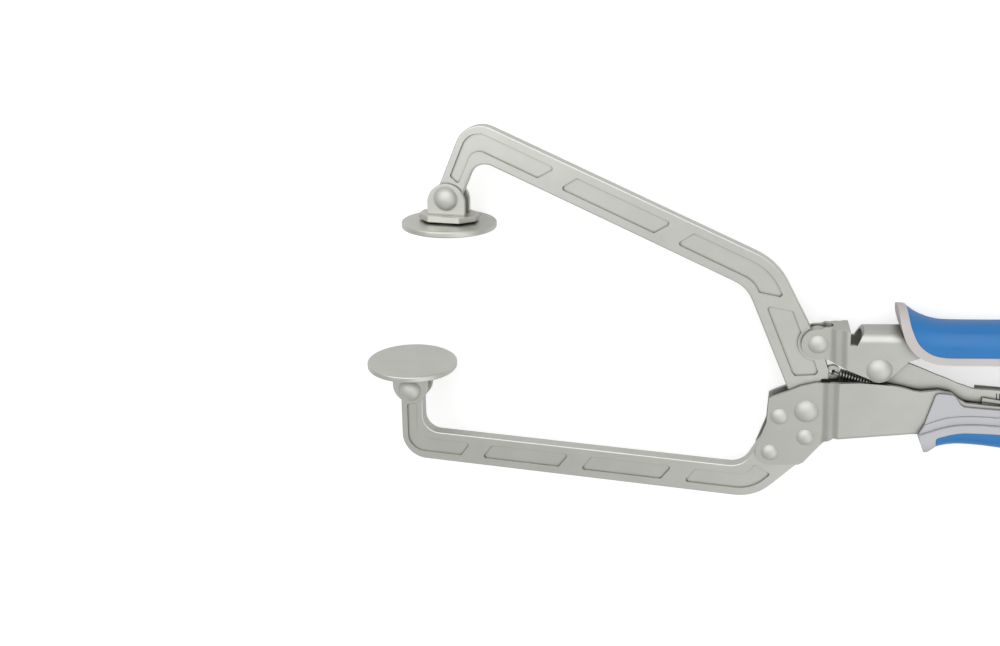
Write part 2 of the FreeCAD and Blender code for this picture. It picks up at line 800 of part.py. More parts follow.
def lever_grip(label, blue):
    body = new_body(label)
    rear = handle[0] + of("lever_reach")
    gauge = of("sheet")
    slope = of("grip_slope")
    half = of("grip_half_width")
    crest = at(handle, 20.7, 9.2)
    start = handle[0] + 31.0
    end = rear + 9

    def height(x):
        return crest[1] + slope * (x - crest[0])

    stations = []
    lip = of("lip_rise")
    for x, lift, extra in ((start, lip, 1.0), (start + 6, lip * 0.7, 0.7),
                           (start + 12, lip * 0.2, 0.2), (start + 20, 0, 0),
                           (start + 50, 0, 0), (start + 85, 0.6, 0.3),
                           (end - 6, 0, 0), (end, -2.0, -1.5)):
        crown = height(x) + of("grip_wall") * 1.3 + lift
        stations.append((x, height(x) - of("grip_depth") + 3.0, crown, half + extra))
    grip_loft(body, label, stations)
    front = [(start - 5, Size(140)), (start - 5, Size(-40)),
             at(handle, 48.0, -40), at(handle, 48.0, -1.2),
             at(handle, 43.7, 0), at(handle, 40.7, 3.4), at(handle, 37.7, 9),
             at(handle, 35.2, 14.5), at(handle, 34.0, 18), at(handle, 32.5, 23),
             at(handle, 31.7, 30), at(handle, 31.7, 140)]
    rim = [at(handle, 40, -60), (end + 10, handle[1] - 60), (end + 10, height(end) - 16.5),
           at(handle, 82.4, 0.6), at(handle, 66.4, -1.6), at(handle, 54.4, -2.5),
           at(handle, 40, -1.6)]
    cut(body, sketch_on(body, label + "_front", [front]))
    cut(body, sketch_on(body, label + "_rim", [rim]))
    well = [(start - 10, height(start) - 60), (rear + 0.1, height(rear) - 60),
            (rear + 0.1, height(rear + 0.1) + 0.05), (start - 10, height(start - 10) + 0.05)]
    cut(body, sketch_on(body, label + "_well", [well]), 2 * (body_outer + 0.05))
    border = [at(handle, 36.0, 26.5), at(handle, 38.0, 21), at(handle, 40.2, 14),
              at(handle, 42.7, 7), at(handle, 46.2, 4), at(handle, 53.7, 1.4),
              at(handle, 80.7, 3.0), (end - 4, height(end) - 12.5)]
    if blue:
        waste = [at(handle, 36.0, 140), (start - 20, handle[1] + 140),
                 (start - 20, handle[1] - 80), (end + 20, handle[1] - 80),
                 (end + 20, handle[1] + 140), (end - 4, handle[1] + 140)]
        waste = waste + border[::-1]
    else:
        waste = [(end - 4, handle[1] + 140), at(handle, 36.0, 140)] + border
    cut(body, sketch_on(body, label + "_border", [waste]))
    return body


def fixed_grip(label, blue):
    body = new_body(label)
    rear = jaw[0] + of("handle_reach")
    half = of("grip_half_width")
    keel = jaw[1] - 4.3
    start = jaw[0] + 50.0
    end = rear + 4
    stations = []
    flare = of("flare_depth")
    for x, drop, extra in ((start, flare, 0), (start + 8, flare, 0), (start + 14, flare * 0.4, 0),
                           (start + 22, 0, 0), (start + 60, 0.5, 0.3),
                           (end - 7, 0, 0), (end, -2.0, -1.5)):
        stations.append((x, jaw[1] + 19.5, keel - of("grip_wall") * 2.0 - drop, half + extra))
    grip_loft(body, label, stations)
    front = [(start - 5, Size(80)), (start - 5, Size(-80)), at(jaw, 59.2, -80),
             at(jaw, 57.5, -16.0), at(jaw, 53.8, -8.5), at(jaw, 53.2, -3.2),
             at(jaw, 57.0, 17.5), at(jaw, 57.0, 80)]
    lip = [(end + 10, jaw[1] + 60), at(jaw, 40, 60), at(jaw, 40, 17.6), at(jaw, 64.6, 17.6),
           at(jaw, 67.6, 15.6), at(jaw, 69.8, 13.4), at(jaw, 87.6, 12.4),
           (end + 10, jaw[1] + 12.2)]
    cut(body, sketch_on(body, label + "_front", [front]))
    cut(body, sketch_on(body, label + "_lip", [lip]))
    well = [(start - 10, keel - 0.05 - 1.9), at(jaw, 50.2, -5.7), at(jaw, 63.2, -4.35),
            (rear + 0.1, keel - 0.05), (rear + 0.1, jaw[1] + 60), (start - 10, jaw[1] + 60)]
    cut(body, sketch_on(body, label + "_well", [well]), 2 * (body_outer + 0.05))
    border = [at(jaw, 60.0, -10.4), at(jaw, 63.2, -6.4), at(jaw, 69.2, -3.4),
              at(jaw, 76.2, -2.1), at(jaw, 88.2, -2.2), (end - 6, jaw[1] - 2.2)]
    if blue:
        waste = [(end - 6, jaw[1] - 60), (end + 20, jaw[1] - 60), (end + 20, jaw[1] + 60),
                 (start - 20, jaw[1] + 60), (start - 20, jaw[1] - 60), at(jaw, 60.0, -60)]
        waste = waste + border
    else:
        waste = [at(jaw, 60.0, -60), (end - 6, jaw[1] - 60)] + border[::-1]
    cut(body, sketch_on(body, label + "_border", [waste]))
    if not blue:
        hole = sketch_on(body, label + "_screw_hole", [], role="YZ_Plane", offset=rear + 2,
                         circles=[((zero + screw_height, zero), of("screw_radius") + 2)])
        cut(body, hole, Size(12))
    return body


# Toggle link, slider block, adjusting screw and its plate

screw_height = link_end[1] - 9.0


def toggle_link():
    label = "toggle_link"
    body = new_body(label)
    boss = of("link_boss")
    outer = of("link_half_width")
    ridge = at(toggle, 39, -2.3)
    brow = at(toggle, 54, -3.6)
    silhouette = [
        turn_about(toggle, boss, 100, 260),
        turn_about(link_end, boss, 260, 442),
        brow,
        ridge,
        at(toggle, 12, boss),
    ]
    pad(body, sketch_on(body, label + "_side", [silhouette]), 2 * outer)
    gauge = of("link_sheet")
    hollow = [
        at(toggle, -20, -30), at(link_end, 20, -30), at(link_end, 20, 30),
        at(link_end, -7, 30), at(link_end, -7, 4.6), at(brow, -0.5, -gauge),
        at(ridge, -0.5, -gauge), at(toggle, 11.5, boss - gauge),
        at(toggle, 11.5, 30), at(toggle, -20, 30),
    ]
    cut(body, sketch_on(body, label + "_hollow", [hollow]), 2 * (outer - gauge))
    holes = [(toggle, of("jaw_rivet_radius") + fit), (link_end, of("link_pin_radius") + fit)]
    cut(body, sketch_on(body, label + "_holes", [], circles=holes))
    return body


def slider_block():
    label = "slider_block"
    body = new_body(label)
    half = of("slider_half_width")
    plate = of("slider_plate")
    front = of("slider_front")
    back = of("slider_back")
    sole = link_end[1] - 14.3
    deck = sole + of("slider_base")
    crown = at(link_end, 0, 3.8)
    side = [(link_end[0] - front, sole), (link_end[0] + back, sole),
            at(link_end, back, 3.8), (link_end[0] - of("slider_nose"), crown[1]),
            at(link_end, -of("slider_nose"), -0.3), at(link_end, -front, -0.3)]
    pad(body, sketch_on(body, label + "_side", [side]), 2 * half)
    gap = half - plate
    bay = [(link_end[0] - 60, deck), (link_end[0] + back + 5, deck),
           (link_end[0] + back + 5, link_end[1] + 20), (link_end[0] - 60, link_end[1] + 20)]
    cut(body, sketch_on(body, label + "_bay", [bay]), 2 * gap)
    tongue = [at(link_end, -5, -of("link_boss") - 1), at(link_end, 5, -of("link_boss") - 1),
              turn_about(link_end, Size(5), 0, 180)]
    pad(body, sketch_on(body, label + "_tongue", [tongue]),
        2 * (of("link_half_width") - of("link_sheet") - of("side_gap")))
    hole = [(link_end, of("link_pin_radius") + fit)]
    cut(body, sketch_on(body, label + "_hole", [], circles=hole))
    return body


def straight_pin(label, pivot, radius, half):
    body = new_body(label, pivot)
    pad(body, sketch_on(body, label + "_round", [], circles=[((zero, zero), radius)]), 2 * half)
    return body


def screw_parts():
    rear = jaw[0] + of("handle_reach")
    radius = of("screw_radius")
    thick = of("rear_plate_thickness")
    tip = link_end[0] + of("slider_back") + of("screw_gap")
    length = rear + 10 - tip
    screw = new_body("adjusting_screw", (tip, screw_height))
    profile = [(zero, zero), (zero, radius - 1.4), (zero + 1.4, radius), (length, radius),
               (length, zero)]
    revolve(screw, sketch_on(screw, "adjusting_screw_profile", [profile]), "H_Axis")

    knob = new_body("screw_knob", (tip, screw_height))
    grip = of("knob_radius")
    start = length + 0.0
    profile = [(start - 2.5, radius), (start - 2.5, grip * 0.6), (start, grip * 0.9),
               (start + 1.5, grip), (start - 2.5 + of("knob_length"), grip),
               (start - 2.5 + of("knob_length"), zero), (start, zero), (start, radius)]
    revolve(knob, sketch_on(knob, "screw_knob_profile", [profile]), "H_Axis")
    end = profile[4][0].value
    soften(knob, "screw_knob_edge", of("knob_edge"),
           lambda edge: isinstance(edge.Curve, Part.Circle)
           and abs(edge.Curve.Center.x - end) < 1e-3, chamfer=True)

    plate = new_body("rear_plate")
    low = jaw[1] - 4.3 + of("sheet")
    high = jaw[1] + 13.2
    side = [(rear - thick, low), (rear, low), (rear, high), (rear - thick, high)]
    pad(plate, sketch_on(plate, "rear_plate_side", [side]), 2 * of("body_half_gap"))
    hole = sketch_on(plate, "rear_plate_hole", [], role="YZ_Plane", offset=rear - thick / 2,
                     circles=[((screw_height, zero), radius + fit)])
    cut(plate, hole, Size(8))

    nut = new_body("tension_nut")
    gap = of("side_gap")
    aft = rear - of("nut_setback")
    fore = aft - of("nut_length")
    side = [(fore, low + gap), (aft, low + gap), (aft, high - 0.7), (fore, high - 0.7)]
    pad(nut, sketch_on(nut, "tension_nut_side", [side]), 2 * (of("body_half_gap") - gap))
    hole = sketch_on(nut, "tension_nut_hole", [], role="YZ_Plane", offset=(fore + aft) / 2,
                     circles=[((screw_height, zero), radius + fit)])
    cut(nut, hole, 2 * of("nut_length"))


def opening_spring():
    """Extension spring hooked in the arm's lug and round the anchor pin."""
    coil = of("spring_radius").value
    wire = of("spring_wire").value
    start, end = spot(lug), spot(anchor)
    length = (end - start).Length
    first = coil + 0.7
    last = length - of("anchor_radius").value - 3 * wire
    bow = length + of("anchor_radius").value + wire + 0.15 - coil
    turns = round((last - first) / of("spring_pitch").value) + 0.25
    rise = (last - first) / turns
    stations = []
    for angle in range(-90, 61, 30):
        out = Vector(math.sin(math.radians(angle)), 0, -math.cos(math.radians(angle)))
        stations.append((Vector(0, 0, coil) + out * coil, Vector(-out.z, 0, out.x), out))
    stations.append((Vector(coil, 0.35, first - 0.35), Vector(0, 1, 1), Vector(1, 0, 0)))
    for step in range(1, int(12 * turns)):
        angle = math.radians(30 * step)
        out = Vector(math.cos(angle), math.sin(angle), 0)
        climb = Vector(-out.y, out.x, rise / (2 * math.pi * coil))
        stations.append((out * coil + Vector(0, 0, first + rise * step / 12), climb, out))
    stations.append((Vector(0.35, coil, last + 0.35), Vector(-1, 0, 1), Vector(0, 1, 0)))
    for angle in range(0, 181, 30):
        out = Vector(0, math.cos(math.radians(angle)), math.sin(math.radians(angle)))
        stations.append((Vector(0, 0, bow) + out * coil, Vector(0, -out.z, out.y), out))
    stations.append((Vector(0, -coil, last + 1.0), Vector(0, 0, -1), Vector(0, -1, 0)))
    rings = []
    for centre, along, out in stations:
        side = along.normalize().cross(out)
        ring = [centre + (out * math.cos(turn) + side * math.sin(turn)) * wire
                for turn in (math.radians(60 * corner) for corner in range(6))]
        rings.append(Part.makePolygon(ring + ring[:1]))
    spring = doc.addObject("Part::Feature", "opening_spring")
    spring.Label = "opening_spring"
    spring.Shape = Part.makeLoft(rings, True, True)
    spring.Placement = Placement(start, Rotation(Vector(0, 0, 1), Vector(), end - start, "ZXY"))
    return spring


fixed_arm()
swing_arm()
fixed_handle()
for index, place in enumerate(arm_rivets, start=1):
    rivet(f"arm_rivet_{index}", place, of("arm_rivet_radius"), neck_outer,
          of("arm_rivet_head"), of("arm_rivet_dome"))
rivet("jaw_pivot_rivet", jaw, of("jaw_rivet_radius"), neck_outer,
      of("jaw_rivet_head"), of("jaw_rivet_dome"))
rivet("handle_pivot_rivet", handle, of("handle_rivet_radius"), neck_outer,
      of("handle_rivet_head"), of("handle_rivet_dome"))
rivet("link_rivet", toggle, of("jaw_rivet_radius"), body_outer,
      of("jaw_rivet_head"), of("jaw_rivet_dome"))
straight_pin("spring_anchor_pin", anchor, of("anchor_radius"), body_outer)
straight_pin("link_end_pin", link_end, of("link_pin_radius"), of("slider_half_width"))
pad_set("fixed_pad", fixed_pivot, 0, fixed_half)
pad_set("swing_pad", swing_pivot, 180, swing_half)
lever_channel()
toggle_link()
slider_block()
screw_parts()
lever_grip("lever_grip", False)
lever_grip("lever_grip_cover", True)
fixed_grip("fixed_grip", False)
fixed_grip("fixed_grip_cover", True)
opening_spring()

# Check and write every piece
doc.recompute()
for item in doc.Objects:
    if {"Invalid", "Error"} & set(item.State):
        raise RuntimeError(f"{item.Name}: {item.State}")
os.makedirs("parts", exist_ok=True)
for item in doc.Objects:
    if item.TypeId not in ("PartDesign::Body", "Part::Feature"):
        continue
    shape = item.Shape
    if shape.isNull() or not shape.isValid() or not shape.Solids:
        raise RuntimeError(f"{item.Label} has no sound shape")
    shape.exportStep(os.path.join("parts", item.Label + ".step"))
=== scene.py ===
"""Looks of a long-reach locking face clamp, lying on its side with its two arms open.

Lengths are in metres in the clamp's own frame: +X runs from the pads to the handles, +Y from the fixed
pad to the moving pad, +Z along the rivets.
"""
import json
import math

import bpy
import bmesh
from mathutils import Matrix, Vector


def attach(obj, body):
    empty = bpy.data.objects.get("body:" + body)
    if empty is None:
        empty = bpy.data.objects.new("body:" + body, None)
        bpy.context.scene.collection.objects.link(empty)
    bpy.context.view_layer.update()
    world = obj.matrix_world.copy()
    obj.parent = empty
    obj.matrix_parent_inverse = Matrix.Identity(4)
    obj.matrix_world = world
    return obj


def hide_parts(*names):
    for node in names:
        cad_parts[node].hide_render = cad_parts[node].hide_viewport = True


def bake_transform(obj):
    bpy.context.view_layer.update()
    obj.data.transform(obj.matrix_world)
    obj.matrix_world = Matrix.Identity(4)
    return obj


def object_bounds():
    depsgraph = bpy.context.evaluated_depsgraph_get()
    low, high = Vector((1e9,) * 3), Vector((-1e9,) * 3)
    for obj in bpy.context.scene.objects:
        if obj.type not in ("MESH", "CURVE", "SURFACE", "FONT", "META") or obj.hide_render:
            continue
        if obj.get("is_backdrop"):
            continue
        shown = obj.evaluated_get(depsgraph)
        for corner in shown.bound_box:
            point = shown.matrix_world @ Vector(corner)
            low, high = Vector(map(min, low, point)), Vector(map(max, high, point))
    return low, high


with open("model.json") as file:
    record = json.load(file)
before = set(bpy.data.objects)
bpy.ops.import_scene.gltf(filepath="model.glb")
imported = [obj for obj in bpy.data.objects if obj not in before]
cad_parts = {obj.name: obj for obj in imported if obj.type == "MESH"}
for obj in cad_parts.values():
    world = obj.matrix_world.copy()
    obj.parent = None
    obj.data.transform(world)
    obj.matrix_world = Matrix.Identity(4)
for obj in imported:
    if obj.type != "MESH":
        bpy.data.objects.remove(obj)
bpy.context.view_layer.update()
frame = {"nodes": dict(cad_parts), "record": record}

bl_info = {
    "name": "Locking face clamp",
    "version": (1, 0, 0),
    "blender": (4, 5, 0),
    "location": "View3D > Sidebar > Clamp",
    "description": "Builds the looks of a long-reach locking face clamp on its solid model",
    "category": "Object",
}

MM = 0.001


def linear(text):
    """An sRGB hex colour as the linear RGBA that shaders and colour properties use."""
    parts = [int(text.lstrip("#")[i:i + 2], 16) / 255 for i in (0, 2, 4)]
    return tuple(c / 12.92 if c <= 0.04045 else ((c + 0.055) / 1.055) ** 2.4 for c in parts) + (1.0,)


# Sizes and colours a user would change


class ClampSizes(bpy.types.PropertyGroup):
    sheet_edge: bpy.props.FloatProperty(name="Sheet edge",
        description="Rounding that tumbling leaves on the sheet's cut edges", default=0.25 * MM, min=0.0,
        unit="LENGTH")
    spring_wire: bpy.props.FloatProperty(name="Spring wire",
        description="Thickness of the opening spring's wire", default=1.1 * MM, min=0.0005, unit="LENGTH")


class ClampColours(bpy.types.PropertyGroup):
    nickel: bpy.props.FloatVectorProperty(name="Satin nickel", description="Plating on the folded sheet",
        subtype="COLOR", size=4, default=linear("#C9C9C3"), min=0, max=1)
    arm_nickel: bpy.props.FloatVectorProperty(name="Arm nickel", description="Plating on the forged arms",
        subtype="COLOR", size=4, default=linear("#D4D4CE"), min=0, max=1)
    rivet: bpy.props.FloatVectorProperty(name="Rivet steel", description="Bright plated rivets and pins",
        subtype="COLOR", size=4, default=linear("#D4D4CF"), min=0, max=1)
    wire: bpy.props.FloatVectorProperty(name="Spring wire", description="Drawn spring wire", subtype="COLOR",
        size=4, default=linear("#A9A8A2"), min=0, max=1)
    blue: bpy.props.FloatVectorProperty(name="Grip blue", description="Blue moulded grip panels",
        subtype="COLOR", size=4, default=linear("#1C74B8"), min=0, max=1)
    warm_grey: bpy.props.FloatVectorProperty(name="Lip grey", description="Warm grey frame of the upper grip",
        subtype="COLOR", size=4, default=linear("#C6C1BE"), min=0, max=1)
    grey: bpy.props.FloatVectorProperty(name="Grip grey", description="Light grey moulded grip bodies",
        subtype="COLOR", size=4, default=linear("#BDBEC1"), min=0, max=1)


# Materials


def add_node(tree, kind, values=None, joins=None, **settings):
    """One shader node: its own settings, its sockets' values, and the joins that feed its sockets."""
    node = tree.nodes.new(kind)
    for name, value in settings.items():
        setattr(node, name, value)
    for socket, value in (values or {}).items():
        node.inputs[socket].default_value = value
    for socket, source in (joins or {}).items():
        tree.links.new(source, node.inputs[socket])
    return node


def new_material(name):
    material = bpy.data.materials.new(name)
    material.use_nodes = True
    material.node_tree.nodes.clear()
    return material


def plated_steel(name, colour, gloss, lay_mm, lay_axis, depth, blotch, corner_mm=1.6):
    """Nickel-plated steel: tumbled sheet keeps a faint rolling lay, and plating evens it to a soft satin.

    gloss is its roughness, lay_mm how far the rolling lines are apart (drawn coarser than the real 0.05 mm so
    that they show), lay_axis the way they run, blotch how much the plating's tone drifts, and
    corner_mm how far from a corner the painted shade reaches.
    """
    material = new_material(name)
    tree = material.node_tree
    place = add_node(tree, "ShaderNodeTexCoord").outputs["Object"]
    across = [1000 / lay_mm] * 3
    across["XYZ".index(lay_axis)] = 1000 / (lay_mm * 40)
    lay_place = add_node(tree, "ShaderNodeMapping", {"Scale": across}, {"Vector": place})
    lay = add_node(tree, "ShaderNodeTexNoise", {"Scale": 1.0, "Detail": 4.0, "Roughness": 0.6},
        {"Vector": lay_place.outputs["Vector"]})
    # 12 mm drifts of tone, as plating and handling leave on a broad face
    drift = add_node(tree, "ShaderNodeTexNoise", {"Scale": 1000 / 12, "Detail": 3.0, "Roughness": 0.5},
        {"Vector": place})
    # 0.5 mm grain of the tumbled surface
    grain = add_node(tree, "ShaderNodeTexNoise", {"Scale": 1000 / 0.5, "Detail": 2.0}, {"Vector": place})
    tone = add_node(tree, "ShaderNodeMapRange",
        {"From Min": 0.3, "From Max": 0.7, "To Min": 1.0 - blotch, "To Max": 1.0},
        {"Value": drift.outputs["Fac"]})
    base = add_node(tree, "ShaderNodeMix", {"Factor": 1.0, 6: colour}, {7: tone.outputs["Result"]},
        data_type="RGBA", blend_type="MULTIPLY")
    # painted shade: the base colour is darkened where ambient occlusion finds other surfaces close by, in the
    # corners of pockets and folds and in the gaps between parts
    corner = add_node(tree, "ShaderNodeAmbientOcclusion", {"Distance": corner_mm * MM}, samples=6)
    painted_corner_shade = add_node(tree, "ShaderNodeMapRange",
        {"From Min": 0.35, "From Max": 0.85, "To Min": 0.22, "To Max": 1.0}, {"Value": corner.outputs["AO"]})
    base = add_node(tree, "ShaderNodeMix", {"Factor": 1.0}, {6: base.outputs[2], 7: painted_corner_shade.outputs["Result"]},
        data_type="RGBA", blend_type="MULTIPLY")
    rough = add_node(tree, "ShaderNodeMapRange",
        {"From Min": 0.25, "From Max": 0.75, "To Min": gloss - 0.05, "To Max": gloss + 0.07},
        {"Value": lay.outputs["Fac"]})
    fine = add_node(tree, "ShaderNodeMath", {}, {0: lay.outputs["Fac"], 1: grain.outputs["Fac"]},
        operation="ADD")
    bump = add_node(tree, "ShaderNodeBump", {"Strength": depth, "Distance": 0.05 * MM},
        {"Height": fine.outputs["Value"]})
    shader = add_node(tree, "ShaderNodeBsdfPrincipled", {"Metallic": 1.0},
        {"Base Color": base.outputs[2], "Roughness": rough.outputs["Result"],
        "Normal": bump.outputs["Normal"]})
    add_node(tree, "ShaderNodeOutputMaterial", None, {"Surface": shader.outputs["BSDF"]})
    return material


def moulded_plastic(name, colour, gloss, grain_mm, depth, ior):
    """Injection-moulded plastic: the mould leaves a fine grain, and handling polishes it in 18 mm patches."""
    material = new_material(name)
    tree = material.node_tree
    place = add_node(tree, "ShaderNodeTexCoord").outputs["Object"]
    grain = add_node(tree, "ShaderNodeTexNoise", {"Scale": 1000 / grain_mm, "Detail": 3.0, "Roughness": 0.6},
        {"Vector": place})
    wear = add_node(tree, "ShaderNodeTexNoise", {"Scale": 1000 / 18, "Detail": 4.0}, {"Vector": place})
    tone = add_node(tree, "ShaderNodeMapRange",
        {"From Min": 0.3, "From Max": 0.7, "To Min": 0.95, "To Max": 1.0}, {"Value": wear.outputs["Fac"]})
    base = add_node(tree, "ShaderNodeMix", {"Factor": 1.0, 6: colour}, {7: tone.outputs["Result"]},
        data_type="RGBA", blend_type="MULTIPLY")
    rough = add_node(tree, "ShaderNodeMapRange",
        {"From Min": 0.3, "From Max": 0.7, "To Min": gloss - 0.04, "To Max": gloss + 0.06},
        {"Value": wear.outputs["Fac"]})
    bump = add_node(tree, "ShaderNodeBump", {"Strength": depth, "Distance": 0.04 * MM},
        {"Height": grain.outputs["Fac"]})
    shader = add_node(tree, "ShaderNodeBsdfPrincipled", {"IOR": ior},
        {"Base Color": base.outputs[2], "Roughness": rough.outputs["Result"],
        "Normal": bump.outputs["Normal"]})
    add_node(tree, "ShaderNodeOutputMaterial", None, {"Surface": shader.outputs["BSDF"]})
    return material


def finish(name):
    """The clamp's finish of that name, made once."""
    if name in bpy.data.materials:
        return bpy.data.materials[name]
    colours = bpy.context.scene.clamp_colours
    if name == "satin nickel-plated sheet":
        # the sheet's painted shade reaches 6 mm, so the gap between the cheeks and the link under the frame's
        # edge are painted dark
        return plated_steel(name, colours.nickel[:], 0.42, 0.25, "X", 0.10, 0.05, 6.0)
    if name == "satin nickel-plated forging":
        return plated_steel(name, colours.arm_nickel[:], 0.40, 0.4, "X", 0.12, 0.05)
    if name == "bright plated rivet":
        return plated_steel(name, colours.rivet[:], 0.56, 0.6, "Z", 0.05, 0.03, 0.4)
    if name == "drawn spring wire":
        return plated_steel(name, colours.wire[:], 0.30, 0.3, "X", 0.05, 0.03)
    if name == "blue moulded nylon":
        return moulded_plastic(name, colours.blue[:], 0.36, 0.35, 0.25, 1.53)
    if name == "warm grey moulded rubber":
        return moulded_plastic(name, colours.warm_grey[:], 0.5, 0.35, 0.25, 1.52)
    if name == "light grey moulded nylon":
        return moulded_plastic(name, colours.grey[:], 0.42, 0.35, 0.25, 1.53)
    if name == "blackened stamped line":
        return plated_steel(name, linear("#2A2A28"), 0.6, 0.3, "Y", 0.05, 0.1)
    raise RuntimeError(f"no finish is called {name}")


SHEET, FORGING, RIVET = "satin nickel-plated sheet", "satin nickel-plated forging", "bright plated rivet"
WIRE, BLUE = "drawn spring wire", "blue moulded nylon"
GREY, LIP = "light grey moulded nylon", "warm grey moulded rubber"
INK = "blackened stamped line"
BODY_OF = {node: body for body, nodes in frame["record"]["behaviour"]["bodies"].items() for node in nodes}


# Shaping


def alone(piece):
    """Only this piece is selected and active, in object mode."""
    alone_none()
    piece.select_set(True)
    bpy.context.view_layer.objects.active = piece


def apply_all(piece):
    """Applies the piece's modifiers in their order."""
    alone(piece)
    for modifier in list(piece.modifiers):
        bpy.ops.object.modifier_apply(modifier=modifier.name)


def smooth(piece, angle=30):
    """Smooth shading that leaves broad flat faces flat beside their rounded edges."""
    alone(piece)
    bpy.ops.object.shade_smooth_by_angle(angle=math.radians(angle))
    even = piece.modifiers.new("flat faces stay flat", "WEIGHTED_NORMAL")
    even.mode = "FACE_AREA"
    even.weight = 60
    even.keep_sharp = True
    apply_all(piece)


def ease(piece, width, segments=2, angle=35):
    """Rounds every edge sharper than the angle."""
    bevel = piece.modifiers.new("eased edges", "BEVEL")
    bevel.width = width
    bevel.segments = segments
    bevel.limit_method = "ANGLE"
    bevel.angle_limit = math.radians(angle)
    apply_all(piece)


def clean(piece, gap=0.004, angle=0.3):
    """Merges doubles and joins faces that lie in one plane."""
    alone(piece)
    bpy.ops.object.mode_set(mode="EDIT")
    bpy.ops.mesh.select_all(action="SELECT")
    bpy.ops.mesh.remove_doubles(threshold=gap * MM)
    bpy.ops.mesh.dissolve_limited(angle_limit=math.radians(angle))
    bpy.ops.object.mode_set(mode="OBJECT")


def through(points, parts=6):
    """A smooth line through the points, parts to each run (Catmull-Rom)."""
    ends = [points[0]] + list(points) + [points[-1]]
    line = []
    for a, b, c, d in zip(ends, ends[1:], ends[2:], ends[3:]):
        for step in range(parts):
            t = step / parts
            line.append(tuple(
                0.5 * (2 * q + (r - p) * t + (2 * p - 5 * q + 4 * r - s) * t * t
                       + (3 * q - p - 3 * r + s) * t ** 3)
                for p, q, r, s in zip(a, b, c, d)))
    return line + [tuple(points[-1])]


def drawn_out(name, rings):
    """A solid drawn out from ring to ring; each ring holds as many points, in millimetres."""
    alone_none()
    bpy.ops.mesh.primitive_circle_add(vertices=len(rings[0]), fill_type="NGON")
    piece = bpy.context.object
    piece.name = piece.data.name = name
    places = [[Vector(point) * MM for point in ring] for ring in rings]
    bpy.ops.object.mode_set(mode="EDIT")
    shape = bmesh.from_edit_mesh(piece.data)
    shape.verts.ensure_lookup_table()
    for vertex, place in zip(shape.verts, places[0]):
        vertex.co = place
    for before, after in zip(places, places[1:]):
        bpy.ops.mesh.extrude_region_move()
        for vertex in bmesh.from_edit_mesh(piece.data).verts:
            if vertex.select:
                nearest = min(range(len(before)), key=lambda k: (before[k] - vertex.co).length_squared)
                vertex.co = after[nearest]
    bmesh.update_edit_mesh(piece.data)
    bpy.ops.mesh.select_all(action="SELECT")
    bpy.ops.mesh.normals_make_consistent(inside=False)
    bpy.ops.object.mode_set(mode="OBJECT")
    piece.matrix_world = Matrix.Identity(4)
    return piece


def alone_none():
    """Nothing is selected, in object mode."""
    if bpy.context.object and bpy.context.object.mode != "OBJECT":
        bpy.ops.object.mode_set(mode="OBJECT")
    bpy.ops.object.select_all(action="DESELECT")


def slab(name, outline, low, high):
    """The outline, points (x, y) in millimetres, as thick as from low to high along Z."""
    return drawn_out(name, [[(x, y, low) for x, y in outline], [(x, y, high) for x, y in outline]])


def carve(piece, tool, operation="DIFFERENCE"):
    """Takes the tool's shape from the piece, or with INTERSECT leaves only what they share."""
    cut = piece.modifiers.new("carve", "BOOLEAN")
    cut.operation = operation
    cut.solver = "EXACT"
    cut.object = tool
    apply_all(piece)
    bpy.data.objects.remove(tool)


def joined(parts, name):
    """The parts as one piece."""
    alone(parts[0])
    for part in parts[1:]:
        part.select_set(True)
    bpy.ops.object.join()
    bpy.context.object.name = name
    return bpy.context.object


def hand_over(piece, look, body, *nodes):
    """Gives the piece its finish, and lets it ride on its body in place of its solid nodes."""
    piece.data.materials.clear()
    piece.data.materials.append(finish(look))
    for face in piece.data.polygons:
        face.material_index = 0
    if nodes:
        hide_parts(*nodes)
    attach(piece, body)


def copy_of(node, name):
    """A merged copy of a solid's surface, ready for finer edges and smooth shading."""
    piece = bpy.data.objects.new(name, frame["nodes"][node].data.copy())
    bpy.context.scene.collection.objects.link(piece)
    alone(piece)
    bpy.ops.mesh.customdata_custom_splitnormals_clear()
    bpy.ops.object.mode_set(mode="EDIT")
    bpy.ops.mesh.select_all(action="SELECT")
    bpy.ops.mesh.remove_doubles(threshold=0.002 * MM)
    bpy.ops.mesh.dissolve_limited(angle_limit=math.radians(0.3), delimit={"NORMAL"})
    bpy.ops.object.mode_set(mode="OBJECT")
    return piece


def dress(node, look, edge=0.0):
    """The solid's own shape with its sharp edges eased and a finish."""
    piece = copy_of(node, node + "_dressed")
    if edge:
        ease(piece, edge)
    smooth(piece)
    hand_over(piece, look, BODY_OF[node], node)


def flatten_heads(piece, share):
    """Presses a rivet's two domes to a share of their height over the plane that they sit on."""
    spots = [vertex.co for vertex in piece.data.vertices]
    middle = [(min(co[k] for co in spots) + max(co[k] for co in spots)) / 2 for k in range(2)]
    reach = [math.hypot(co.x - middle[0], co.y - middle[1]) for co in spots]
    seat = min(abs(co.z) for co, far in zip(spots, reach) if far > max(reach) - 0.05 * MM)
    for co in spots:
        if abs(co.z) > seat:
            co.z = math.copysign(seat + (abs(co.z) - seat) * share, co.z)


